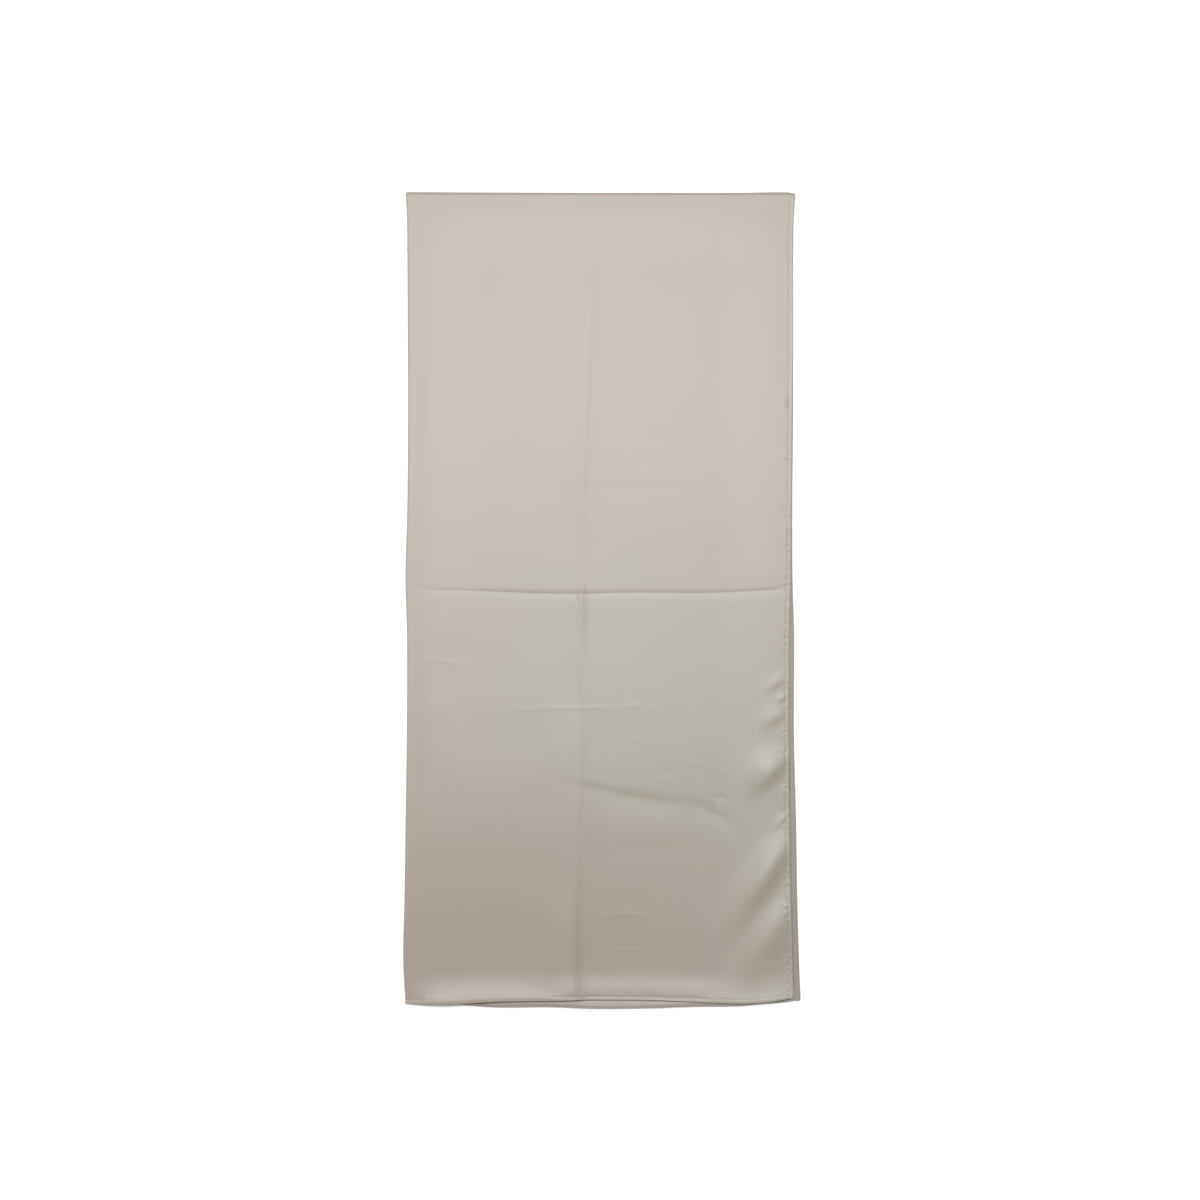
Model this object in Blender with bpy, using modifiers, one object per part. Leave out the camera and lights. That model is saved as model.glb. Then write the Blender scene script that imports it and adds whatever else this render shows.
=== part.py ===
"""A plain satin shawl, folded in quarters and laid flat.

The shawl is one rectangle of satin with a narrow hem on all four sides. It is folded lengthwise first, along
the left as it lies, and then in half over the top. That makes four layers: layer 1 faces up, layer 4 lies on
the surface, and layers 2 and 3 are hidden between them. The left fold joins 1 to 2 and 3 to 4. The top fold
joins 1 to 4 round the outside and 2 to 3 inside it. All four end in hems on the right and at the bottom.

Metres. X points right, Y towards the top fold, Z up. The origin is at the middle of the flat underside.
A place on the cloth is given by its inset from the left fold and its distance down from the top fold.
"""

import math
from collections import namedtuple

import bmesh
import bpy

# The hemmed cut, and its size when folded in quarters
CUT_LENGTH = 1.800
CUT_WIDTH = 0.850
LAYER_LENGTH = CUT_LENGTH / 2
LAYER_WIDTH = CUT_WIDTH / 2

# Thicknesses
CLOTH = 0.0010
HEM_WIDTH = 0.0050
HEM_THICK = 0.0016
HEM_ROUND = 0.0003
GAP = 0.0003
TUCK = 0.0015  # how far the inner side hem lies inside the outer one

# The stack of four layers: pressed in the field, lofted at the folds and hems
FIELD_TOP = 4 * CLOTH + 3 * GAP
EDGE_TOP = 4 * HEM_THICK + 3 * GAP
TOP_RADIUS = EDGE_TOP / 2  # outside of the top fold
SIDE_RADIUS = (EDGE_TOP - GAP) / 4  # outside of each left fold, two of which make the stack
PINCH_RADIUS = 0.0006  # inside of the top fold at the doubled left corner
RETURN = 0.008  # how far the cloth turned under at the left is followed
UNDERLAP = 0.006  # how far layer 1 runs on under the stack past the top fold
TURN_STEPS = 6
SHARP_ANGLE = math.radians(40)
CORNER_ANGLE = math.radians(60)
EDGE_FLAT = 0.006  # the lofted band along an edge
EDGE_SLOPE = 0.030  # the slope from that band to the field
SETBACK = 0.001  # how far the hidden layers' upper half keeps inside the front pair's folds and hems
HALF_OVERLAP = 0.0001  # how deep the hidden layers' two halves sit in each other

# Edges of the folded shawl: X of each at a distance down from the top fold
SideStop = namedtuple("SideStop", "down left_fold front_hem back_hem")
SIDE_STOPS = (
    SideStop(0.000, -0.2163, 0.2147, 0.2147),
    SideStop(0.025, -0.2161, 0.2131, 0.2135),
    SideStop(0.060, -0.2156, 0.2119, 0.2125),
    SideStop(0.250, -0.2151, 0.2106, 0.2118),
    SideStop(0.350, -0.2161, 0.2100, 0.2117),
    SideStop(0.430, -0.2179, 0.2094, 0.2120),
    SideStop(0.490, -0.2164, 0.2081, 0.2138),
    SideStop(0.600, -0.2163, 0.2078, 0.2138),
    SideStop(0.700, -0.2179, 0.2083, 0.2156),
    SideStop(0.780, -0.2190, 0.2094, 0.2176),
    SideStop(0.850, -0.2203, 0.2115, 0.2189),
    SideStop(0.900, -0.2172, 0.2124, 0.2203),
)

# The same for the top fold and the ends: how far below its nominal place each lies at an X
EndStop = namedtuple("EndStop", "x top_fold front_hem back_hem")
END_STOPS = (
    EndStop(-0.218, 0.0000, 0.0007, 0.0010),
    EndStop(-0.168, 0.0004, 0.0015, 0.0026),
    EndStop(-0.113, 0.0008, -0.0013, 0.0047),
    EndStop(-0.013, 0.0012, -0.0035, 0.0063),
    EndStop(0.054, 0.0012, -0.0031, 0.0059),
    EndStop(0.102, 0.0010, -0.0014, 0.0048),
    EndStop(0.150, 0.0005, 0.0003, 0.0033),
    EndStop(0.183, 0.0001, -0.0014, 0.0010),
    EndStop(0.220, 0.0000, -0.0071, -0.0018),
)
TOP_FOLD_Y = 0.4528
END_REACH = 6  # power by which an end's shape fades along the cloth

# The two creases pressed in when it was packed, each running along the cloth at a place across it
CreaseStop = namedtuple("CreaseStop", "along place")
LONG_CREASE = (
    CreaseStop(0.000, 0.204),
    CreaseStop(0.060, 0.203),
    CreaseStop(0.250, 0.200),
    CreaseStop(0.340, 0.193),
    CreaseStop(0.445, 0.193),
    CreaseStop(0.640, 0.195),
    CreaseStop(0.790, 0.192),
    CreaseStop(0.900, 0.194),
)
CROSS_CREASE = (
    CreaseStop(0.000, 0.4405),
    CreaseStop(0.060, 0.4420),
    CreaseStop(0.195, 0.4447),
    CreaseStop(0.330, 0.4440),
    CreaseStop(0.425, 0.4390),
)
LONG_CREASE_MIDDLE = 0.196
CROSS_CREASE_MIDDLE = 0.443
CREASE_HALF_WIDTH = 0.005
CREASE_DEPTH = 0.0008
CREASE_SWAY = 0.040  # columns and rows this near to a crease lean with it

# Soft folds of layer 1. A heading of 0 runs across the cloth and 90 down it. A negative rise is a trough.
SoftFold = namedtuple("SoftFold", "inset down heading length half_width rise")
SOFT_FOLDS = (
    SoftFold(0.215, 0.250, 0, 0.420, 0.150, 0.0014),
    SoftFold(0.210, 0.640, 0, 0.400, 0.130, 0.0026),
    SoftFold(0.195, 0.845, 0, 0.420, 0.030, -0.0008),
    SoftFold(0.250, 0.893, 0, 0.300, 0.016, 0.0018),
    SoftFold(0.276, 0.675, 13, 0.150, 0.010, -0.0010),
    SoftFold(0.414, 0.566, 125, 0.040, 0.010, 0.0010),
    SoftFold(0.403, 0.640, 135, 0.060, 0.012, 0.0026),
    SoftFold(0.398, 0.746, 125, 0.095, 0.013, 0.0036),
    SoftFold(0.404, 0.832, 115, 0.100, 0.013, 0.0034),
    SoftFold(0.392, 0.792, 122, 0.080, 0.010, -0.0006),
)
RELIEF_FADE = 0.022  # the relief fades out over this distance at the two folds
HIDDEN_FOLLOWS = 0.5  # the share of the relief that the hem under layer 1 takes

# How finely each stretch of the cloth is modelled
Stretch = namedtuple("Stretch", "start end steps")
PANEL_COLUMNS = (
    Stretch(0.008, 0.038, 4),
    Stretch(0.038, 0.185, 4),
    Stretch(0.185, 0.191, 1),
    Stretch(0.191, 0.201, 2),
    Stretch(0.201, 0.207, 1),
    Stretch(0.207, 0.350, 4),
    Stretch(0.350, 0.413, 6),
)
PANEL_ROWS = (
    Stretch(0.010, 0.038, 3),
    Stretch(0.038, 0.425, 6),
    Stretch(0.425, 0.438, 1),
    Stretch(0.438, 0.448, 2),
    Stretch(0.448, 0.460, 1),
    Stretch(0.460, 0.600, 4),
    Stretch(0.600, 0.885, 20),
)
BACK_COLUMNS = (
    Stretch(0.020, 0.040, 2),
    Stretch(0.040, 0.380, 5),
    Stretch(0.380, 0.410, 3),
)
BACK_ROWS = (
    Stretch(0.012, 0.040, 2),
    Stretch(0.040, 0.860, 13),
    Stretch(0.860, 0.885, 2),
)

SATIN_COLOUR = (0.56, 0.52, 0.47, 1.0)
HEM_COLOUR = (0.50, 0.46, 0.41, 1.0)
SATIN_ROUGHNESS = 0.38

Section = namedtuple("Section", "inset depth")  # depth is how far inside the outside of the stack it lies
Row = namedtuple("Row", "down turn")  # turn is the angle round the top fold: 0 on layer 1, pi on layer 4


def smooth_through(stops, at):
    """The value at a place on the smooth curve through (place, value) stops."""
    if at <= stops[0][0]:
        return stops[0][1]
    if at >= stops[-1][0]:
        return stops[-1][1]

    def slope(index):
        before = stops[max(index - 1, 0)]
        after = stops[min(index + 1, len(stops) - 1)]
        return (after[1] - before[1]) / (after[0] - before[0])

    index = max(i for i in range(len(stops) - 1) if stops[i][0] <= at)
    start, low = stops[index]
    end, high = stops[index + 1]
    span = end - start
    t = (at - start) / span
    bend = (t**3 - 2 * t**2 + t) * slope(index) + (t**3 - t**2) * slope(index + 1)
    return low + (3 * t**2 - 2 * t**3) * (high - low) + bend * span


def column_of(stops, name):
    """(place, value) pairs for one named column of an outline table."""
    return [(stop[0], getattr(stop, name)) for stop in stops]


LEFT_FOLD = column_of(SIDE_STOPS, "left_fold")
TOP_FOLD = column_of(END_STOPS, "top_fold")
SIDE_HEMS = [column_of(SIDE_STOPS, layer) for layer in ("front_hem", "back_hem")]
END_HEMS = [column_of(END_STOPS, layer) for layer in ("front_hem", "back_hem")]


def ease(t):
    """0 below 0, 1 above 1, and a smooth step between."""
    t = min(max(t, 0.0), 1.0)
    return t * t * (3 - 2 * t)


def mix(front, back, share):
    """The front value, the back value, or one between them."""
    return front + share * (back - front)


def spread(stretches):
    """The places along the cloth that a table of stretches gives."""
    places = [
        stretch.start + (stretch.end - stretch.start) * step / stretch.steps
        for stretch in stretches
        for step in range(stretch.steps)
    ]
    return [*places, stretches[-1].end]


def leaned(inset, down):
    """A column and row, moved so that those near a crease run along it."""
    near = max(0.0, 1 - abs(down - CROSS_CREASE_MIDDLE) / CREASE_SWAY)
    down += near * (smooth_through(CROSS_CREASE, inset) - CROSS_CREASE_MIDDLE)
    near = max(0.0, 1 - abs(inset - LONG_CREASE_MIDDLE) / CREASE_SWAY)
    inset += near * (smooth_through(LONG_CREASE, down) - LONG_CREASE_MIDDLE)
    return inset, down


def relief(inset, down):
    """Height of layer 1 above the plain stack: its soft folds and creases."""
    height = 0.0
    for fold in SOFT_FOLDS:
        heading = math.radians(fold.heading)
        aside = inset - fold.inset
        below = down - fold.down
        along = aside * math.cos(heading) + below * math.sin(heading)
        off = below * math.cos(heading) - aside * math.sin(heading)
        height += fold.rise * math.exp(-((2 * along / fold.length) ** 2) - (off / fold.half_width) ** 2)
    from_long = abs(inset - smooth_through(LONG_CREASE, down))
    from_cross = abs(down - smooth_through(CROSS_CREASE, inset))
    height -= CREASE_DEPTH * max(0.0, 1 - min(from_long, from_cross) / CREASE_HALF_WIDTH)
    if height < 0:
        from_hem = min(LAYER_WIDTH - inset, LAYER_LENGTH - down) - HEM_WIDTH
        height = max(height, -CREASE_DEPTH) * ease(from_hem / RELIEF_FADE)
    return height * ease((inset - EDGE_FLAT) / RELIEF_FADE) * ease((down - EDGE_FLAT) / RELIEF_FADE)


def plain_top(inset, down):
    """Z of the top of the stack without its relief."""
    field = 1.0
    for distance in (inset, down, LAYER_WIDTH - inset, LAYER_LENGTH - down):
        field *= ease((distance - EDGE_FLAT) / EDGE_SLOPE)
    return mix(EDGE_TOP, FIELD_TOP, field)


def plan(inset, down, share):
    """X and Y of a place on the front pair of layers (share 0) or the back pair (share 1)."""
    inset, down = leaned(inset, down)
    left = smooth_through(LEFT_FOLD, down)
    right = mix(*(smooth_through(hem, down) for hem in SIDE_HEMS), share)
    x = mix(left, right, inset / LAYER_WIDTH)
    end = mix(*(smooth_through(hem, x) for hem in END_HEMS), share)
    nearness = down / LAYER_LENGTH
    y = TOP_FOLD_Y - down
    y -= smooth_through(TOP_FOLD, x) * (1 - nearness) ** END_REACH + end * nearness**END_REACH
    return x, y


def outside(section, row):
    """A point of the outside of the stack, or inside it by the section's depth."""
    share = row.turn / math.pi
    x, y = plan(section.inset, row.down, share)
    depth = section.depth
    if row.down <= TOP_RADIUS:
        depth = min(depth, TOP_RADIUS - PINCH_RADIUS)
    radius = TOP_RADIUS - depth
    follows = mix(1.0, HIDDEN_FOLLOWS, min(1.0, depth / (HEM_THICK + GAP)))
    rise = plain_top(section.inset, row.down) - EDGE_TOP
    rise += relief(*leaned(section.inset, row.down)) * follows
    z = TOP_RADIUS + radius * math.cos(row.turn) + (1 - share) * rise
    return x, y + radius * math.sin(row.turn), z


def satin(name, colour):
    """A smooth satin finish."""
    material = bpy.data.materials.new(name)
    material.use_nodes = True
    surface = material.node_tree.nodes["Principled BSDF"]
    surface.inputs["Base Color"].default_value = colour
    surface.inputs["Roughness"].default_value = SATIN_ROUGHNESS
    surface.inputs["Metallic"].default_value = 0.0
    return material


def collection_named(name):
    """A new collection in the scene."""
    collection = bpy.data.collections.new(name)
    bpy.context.scene.collection.children.link(collection)
    return collection


def mapped_grid(name, columns, rows, place, colour, collection, closed=False):
    """A grid with a point for each column and row, or a closed slab between two such grids."""
    mesh = bpy.data.meshes.new(name)
    grid = bmesh.new()
    bmesh.ops.create_grid(grid, x_segments=len(columns) - 1, y_segments=len(rows) - 1, size=0.5)
    if closed:
        raised = bmesh.ops.extrude_face_region(grid, geom=grid.faces[:], use_keep_orig=True)
        corners = [item for item in raised["geom"] if isinstance(item, bmesh.types.BMVert)]
        bmesh.ops.translate(grid, verts=corners, vec=(0, 0, 1))
    for vertex in grid.verts:
        column = columns[round((vertex.co.x + 0.5) * (len(columns) - 1))]
        row = rows[round((vertex.co.y + 0.5) * (len(rows) - 1))]
        vertex.co = place(column, row, vertex.co.z > 0.5)
    if closed:
        bmesh.ops.recalc_face_normals(grid, faces=grid.faces)
    grid.to_mesh(mesh)
    grid.free()
    mesh.materials.append(satin(name, colour))
    mesh.shade_smooth()
    mesh.set_sharp_from_angle(angle=SHARP_ANGLE)
    piece = bpy.data.objects.new(name, mesh)
    collection.objects.link(piece)
    return piece


def cloth_wall(name, sections, rows, thickness, colour, collection):
    """A wall of cloth whose outer face follows the outside of the stack."""

    def place(section, row, _):
        return outside(section, row)

    piece = mapped_grid(name, sections, rows, place, colour, collection)
    wall = piece.modifiers.new("wall", "SOLIDIFY")
    wall.thickness = thickness
    wall.offset = -1
    return piece


def hem(name, sections, rows, collection):
    """A folded and pressed hem with softened edges."""
    piece = cloth_wall(name, sections, rows, HEM_THICK, HEM_COLOUR, collection)
    softened = piece.modifiers.new("softened", "BEVEL")
    softened.width = HEM_ROUND
    softened.segments = 1
    softened.limit_method = "ANGLE"
    softened.angle_limit = CORNER_ANGLE
    return piece


def round_left_fold(under_insets, outer_insets):
    """Sections from under a pair of layers, round its left fold and out across its outside."""
    fold = []
    for step in range(TURN_STEPS + 1):
        turn = math.pi * (1 - step / TURN_STEPS)
        fold.append(Section(SIDE_RADIUS * (1 - math.sin(turn)), SIDE_RADIUS * (1 - math.cos(turn))))
    under = [Section(inset, 2 * SIDE_RADIUS) for inset in reversed(under_insets)]
    return under + fold + [Section(inset, 0.0) for inset in outer_insets]


def over_top_fold(front_downs, back_downs):
    """Rows from the lower end of layer 1, up over the top fold and down layer 4."""
    front = [Row(down, 0.0) for down in reversed(front_downs)]
    fold = [Row(TOP_RADIUS, math.pi * step / TURN_STEPS) for step in range(TURN_STEPS + 1)]
    return front + fold + [Row(down, math.pi) for down in back_downs]


PANEL_END = LAYER_WIDTH - HEM_WIDTH - GAP
PANEL_FOOT = LAYER_LENGTH - HEM_WIDTH - GAP


def front_layer(collection):
    """Layer 1, its left fold, and the top fold that carries it round to the underside."""
    sections = round_left_fold([SIDE_RADIUS + RETURN], [*spread(PANEL_COLUMNS), PANEL_END])
    rows = over_top_fold([*spread(PANEL_ROWS), PANEL_FOOT], [TOP_RADIUS + UNDERLAP])
    return cloth_wall("front_layer", sections, rows, CLOTH, SATIN_COLOUR, collection)


def back_layer(collection):
    """Layer 4 and its left fold. It meets layer 1 just under the top fold and lies flat on the surface."""
    sections = round_left_fold([SIDE_RADIUS + RETURN], [*spread(BACK_COLUMNS), PANEL_END])
    start = TOP_RADIUS + UNDERLAP + GAP
    rows = [Row(down, math.pi) for down in (start, *spread(BACK_ROWS), PANEL_FOOT)]
    return cloth_wall("back_layer", sections, rows, CLOTH, SATIN_COLOUR, collection)


def hidden_layers(collection, helper_collection):
    """Layers 2 and 3 pressed into one solid, whose lower half reaches out to the back pair's hems."""
    bottom = CLOTH + GAP
    under_front = CLOTH + 2 * GAP + CREASE_DEPTH
    start = SIDE_RADIUS + RETURN + GAP
    columns = spread(BACK_COLUMNS)
    rows = [*reversed(spread(BACK_ROWS)), TOP_RADIUS]
    lower_share = (2 * SIDE_RADIUS - bottom) / (EDGE_TOP - under_front - bottom)

    def top_at(inset, down):
        return plain_top(inset, down) - under_front

    def middle_at(inset, down):
        return mix(bottom, top_at(inset, down), lower_share)

    def upper(inset, down, raised):
        z = top_at(inset, down) if raised else middle_at(inset, down) - HALF_OVERLAP
        return *plan(inset, down, 0.0), z

    def lower(inset, down, raised):
        z = middle_at(inset, down) if raised else bottom
        return *plan(inset, down, 1.0), z

    upper_columns = [start + SETBACK, *columns, PANEL_END - TUCK - SETBACK]
    upper_rows = [PANEL_FOOT - SETBACK, *rows]
    piece = mapped_grid("hidden_layers", upper_columns, upper_rows, upper, SATIN_COLOUR, collection, True)
    lower_columns = [start, *columns, PANEL_END - TUCK]
    lower_rows = [PANEL_FOOT, *rows]
    half = mapped_grid("lower_half", lower_columns, lower_rows, lower, SATIN_COLOUR, helper_collection, True)
    half.hide_render = True
    half.display_type = "WIRE"
    joined = piece.modifiers.new("lower_half", "BOOLEAN")
    joined.operation = "UNION"
    joined.object = half
    return piece


def outer_side_hem(collection):
    """The hem of the long side that shows: down layer 1, over the top fold and along layer 4."""
    sections = [Section(LAYER_WIDTH - HEM_WIDTH, 0.0), Section(LAYER_WIDTH, 0.0)]
    rows = over_top_fold([*spread(PANEL_ROWS), PANEL_FOOT], [*spread(BACK_ROWS), PANEL_FOOT])
    return hem("outer_side_hem", sections, rows, collection)


def inner_side_hem(collection):
    """The hem of the other long side, tucked inside: layer 2, round inside the top fold, and layer 3."""
    depth = HEM_THICK + GAP
    sections = [Section(LAYER_WIDTH - TUCK - HEM_WIDTH, depth), Section(LAYER_WIDTH - TUCK, depth)]
    rows = over_top_fold([*spread(PANEL_ROWS), PANEL_FOOT], [*spread(BACK_ROWS), PANEL_FOOT])
    return hem("inner_side_hem", sections, rows, collection)


def front_end_hem(collection):
    """The hem across one end: layer 1, round the left fold and back along layer 2."""
    columns = spread(PANEL_COLUMNS)
    sections = round_left_fold([*columns, LAYER_WIDTH - TUCK], [*columns, LAYER_WIDTH])
    rows = [Row(LAYER_LENGTH, 0.0), Row(LAYER_LENGTH - HEM_WIDTH, 0.0)]
    return hem("front_end_hem", sections, rows, collection)


def back_end_hem(collection):
    """The hem across the other end: layer 3, round the left fold and along layer 4."""
    columns = spread(BACK_COLUMNS)
    sections = round_left_fold([*columns, LAYER_WIDTH - TUCK], [*columns, LAYER_WIDTH])
    rows = [Row(LAYER_LENGTH - HEM_WIDTH, math.pi), Row(LAYER_LENGTH, math.pi)]
    return hem("back_end_hem", sections, rows, collection)


def build():
    """Clears the scene and makes the folded shawl."""
    for item in list(bpy.data.objects):
        bpy.data.objects.remove(item, do_unlink=True)
    shawl = collection_named("folded_shawl")
    helpers = collection_named("helpers")
    front_layer(shawl)
    back_layer(shawl)
    hidden_layers(shawl, helpers)
    outer_side_hem(shawl)
    inner_side_hem(shawl)
    front_end_hem(shawl)
    back_end_hem(shawl)


build()
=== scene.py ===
"""A plain satin shawl folded in quarters, dressed for a studio photograph.

Each layer, hem and row of stitches is a piece of its own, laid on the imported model's solids. A place on the
cloth is given by its inset from the left fold and its distance down from the top fold, in metres.
"""

import math
from collections import namedtuple

import bmesh
import bpy
import numpy as np
from bpy.props import FloatProperty, FloatVectorProperty, PointerProperty
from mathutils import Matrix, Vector


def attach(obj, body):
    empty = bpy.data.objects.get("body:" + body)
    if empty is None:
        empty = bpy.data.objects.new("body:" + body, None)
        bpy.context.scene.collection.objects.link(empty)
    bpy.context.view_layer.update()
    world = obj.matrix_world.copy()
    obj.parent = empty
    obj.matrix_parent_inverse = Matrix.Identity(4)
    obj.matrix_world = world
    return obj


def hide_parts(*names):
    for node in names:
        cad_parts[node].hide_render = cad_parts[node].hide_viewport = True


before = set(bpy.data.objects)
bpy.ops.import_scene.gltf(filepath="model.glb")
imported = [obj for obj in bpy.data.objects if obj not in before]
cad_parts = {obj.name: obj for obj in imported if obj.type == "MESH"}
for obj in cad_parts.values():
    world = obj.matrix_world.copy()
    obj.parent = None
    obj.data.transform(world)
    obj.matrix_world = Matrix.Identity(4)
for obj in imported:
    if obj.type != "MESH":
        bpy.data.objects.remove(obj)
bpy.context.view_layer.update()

bl_info = {
    "name": "Folded Satin Shawl",
    "version": (1, 0, 0),
    "blender": (4, 5, 0),
    "location": "3D View > Sidebar > Shawl",
    "description": "Makes a satin shawl folded in quarters, with its hems, stitches and creases",
    "category": "Object",
}

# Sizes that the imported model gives
LAYER_LENGTH = 0.900
LAYER_WIDTH = 0.425
STACK_TOP = 0.0073
GAP = 0.0003
FIELD_CLOTH = 0.0010
FIELD_TOP = 4 * FIELD_CLOTH + 3 * GAP
TOP_RADIUS = STACK_TOP / 2
SIDE_RADIUS = (STACK_TOP - GAP) / 4
TOP_FOLD_Y = 0.4528
TIGHTEST_BEND = 0.0006  # the least radius of cloth inside the top fold

# Edges of the folded shawl: X of each at a distance down from the top fold
SideStop = namedtuple("SideStop", "down left_fold front_hem back_hem")
SIDE_STOPS = (
    SideStop(0.000, -0.2175, 0.2149, 0.2149),
    SideStop(0.025, -0.2161, 0.2133, 0.2137),
    SideStop(0.060, -0.2156, 0.2122, 0.2130),
    SideStop(0.150, -0.2151, 0.2123, 0.2129),
    SideStop(0.250, -0.2147, 0.2116, 0.2129),
    SideStop(0.350, -0.2156, 0.2110, 0.2121),
    SideStop(0.430, -0.2176, 0.2102, 0.2125),
    SideStop(0.490, -0.2159, 0.2087, 0.2142),
    SideStop(0.600, -0.2161, 0.2081, 0.2140),
    SideStop(0.700, -0.2175, 0.2085, 0.2164),
    SideStop(0.780, -0.2186, 0.2098, 0.2176),
    SideStop(0.850, -0.2201, 0.2120, 0.2194),
    SideStop(0.900, -0.2175, 0.2127, 0.2214),
)

# The same for the top fold and the ends: how far below its nominal place each lies at an X
EndStop = namedtuple("EndStop", "x top_fold front_hem back_hem")
END_STOPS = (
    EndStop(-0.218, -0.0006, 0.0004, 0.0003),
    EndStop(-0.168, -0.0003, 0.0006, 0.0016),
    EndStop(-0.113, -0.0001, -0.0021, 0.0044),
    EndStop(-0.057, 0.0001, -0.0030, 0.0040),
    EndStop(-0.013, 0.0002, -0.0036, 0.0058),
    EndStop(0.054, 0.0003, -0.0031, 0.0053),
    EndStop(0.102, 0.0004, -0.0014, 0.0036),
    EndStop(0.150, 0.0003, 0.0002, 0.0031),
    EndStop(0.183, -0.0002, -0.0014, 0.0005),
    EndStop(0.206, -0.0002, -0.0050, -0.0012),
    EndStop(0.2125, 0.0008, -0.0061, -0.0018),
    EndStop(0.220, 0.0040, -0.0073, -0.0022),
)
END_REACH = 6  # power by which an end's shape fades along the cloth

# Corners: how far each is rounded on the front pair of layers and on the back pair
FRONT_CORNER = 0.0045
BACK_CORNER = 0.0015

# The two creases pressed in when it was packed. Each runs along the cloth at a place across it, with a height
# there, and dies away over one distance on the side before its line and another on the side after it.
CreaseStop = namedtuple("CreaseStop", "along place rise before after")
LONG_CREASE = (
    CreaseStop(0.000, 0.2040, 0.0001, 0.030, 0.010),
    CreaseStop(0.060, 0.2030, 0.0006, 0.030, 0.012),
    CreaseStop(0.142, 0.2014, 0.0011, 0.030, 0.013),
    CreaseStop(0.209, 0.1980, 0.0014, 0.030, 0.014),
    CreaseStop(0.320, 0.1941, 0.0012, 0.016, 0.011),
    CreaseStop(0.414, 0.1915, 0.0006, 0.012, 0.006),
    CreaseStop(0.456, 0.1949, 0.0015, 0.010, 0.006),
    CreaseStop(0.508, 0.1936, 0.0009, 0.010, 0.007),
    CreaseStop(0.564, 0.1943, 0.0008, 0.004, 0.007),
    CreaseStop(0.630, 0.1936, 0.0014, 0.020, 0.009),
    CreaseStop(0.700, 0.1915, 0.0009, 0.012, 0.009),
    CreaseStop(0.786, 0.1885, 0.0003, 0.010, 0.009),
    CreaseStop(0.863, 0.1875, 0.0002, 0.010, 0.008),
    CreaseStop(0.900, 0.1875, 0.0002, 0.010, 0.008),
)
CROSS_CREASE = (
    CreaseStop(0.000, 0.4412, -0.00015, 0.0030, 0.0030),
    CreaseStop(0.060, 0.4424, -0.00030, 0.0028, 0.0030),
    CreaseStop(0.100, 0.4436, -0.00070, 0.0022, 0.0030),
    CreaseStop(0.150, 0.4454, -0.00082, 0.0020, 0.0030),
    CreaseStop(0.200, 0.4456, -0.00070, 0.0022, 0.0030),
    CreaseStop(0.250, 0.4447, -0.00060, 0.0028, 0.0034),
    CreaseStop(0.330, 0.4450, -0.00066, 0.0024, 0.0034),
    CreaseStop(0.395, 0.4422, -0.00068, 0.0024, 0.0030),
    CreaseStop(0.425, 0.4400, -0.00065, 0.0026, 0.0030),
)
LONG_CREASE_MIDDLE = 0.196
CROSS_CREASE_MIDDLE = 0.443
CREASE_SWAY = 0.040  # columns and rows this near to a crease lean with it

# Soft folds of layer 1. A heading of 0 runs across the cloth and one of -90 up it. Upper and lower are how
# far a fold reaches on each side, and a negative rise is a trough.
SoftFold = namedtuple("SoftFold", "inset down heading length upper lower rise")
SOFT_FOLDS = (
    SoftFold(0.215, 0.250, 0, 0.420, 0.150, 0.150, 0.0014),
    SoftFold(0.210, 0.640, 0, 0.400, 0.130, 0.130, 0.0026),
    SoftFold(0.195, 0.845, 0, 0.420, 0.030, 0.030, -0.0004),
    SoftFold(0.262, 0.6742, 8, 0.105, 0.0062, 0.016, -0.0011),
    SoftFold(0.338, 0.6865, 30, 0.052, 0.0040, 0.012, -0.0009),
    SoftFold(0.410, 0.545, -38, 0.024, 0.008, 0.005, 0.0008),
    SoftFold(0.416, 0.562, -28, 0.012, 0.005, 0.0035, 0.0006),
    SoftFold(0.408, 0.584, -40, 0.030, 0.012, 0.006, 0.0012),
    SoftFold(0.4030, 0.6445, -46, 0.047, 0.020, 0.009, 0.0037),
    SoftFold(0.416, 0.698, -45, 0.018, 0.006, 0.004, 0.0007),
    SoftFold(0.3962, 0.7598, -56, 0.106, 0.017, 0.0135, 0.0055),
    SoftFold(0.4030, 0.8232, -56, 0.100, 0.018, 0.020, 0.0050),
    SoftFold(0.1823, 0.850, 90, 0.200, 0.011, 0.035, 0.0028),
)

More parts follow.
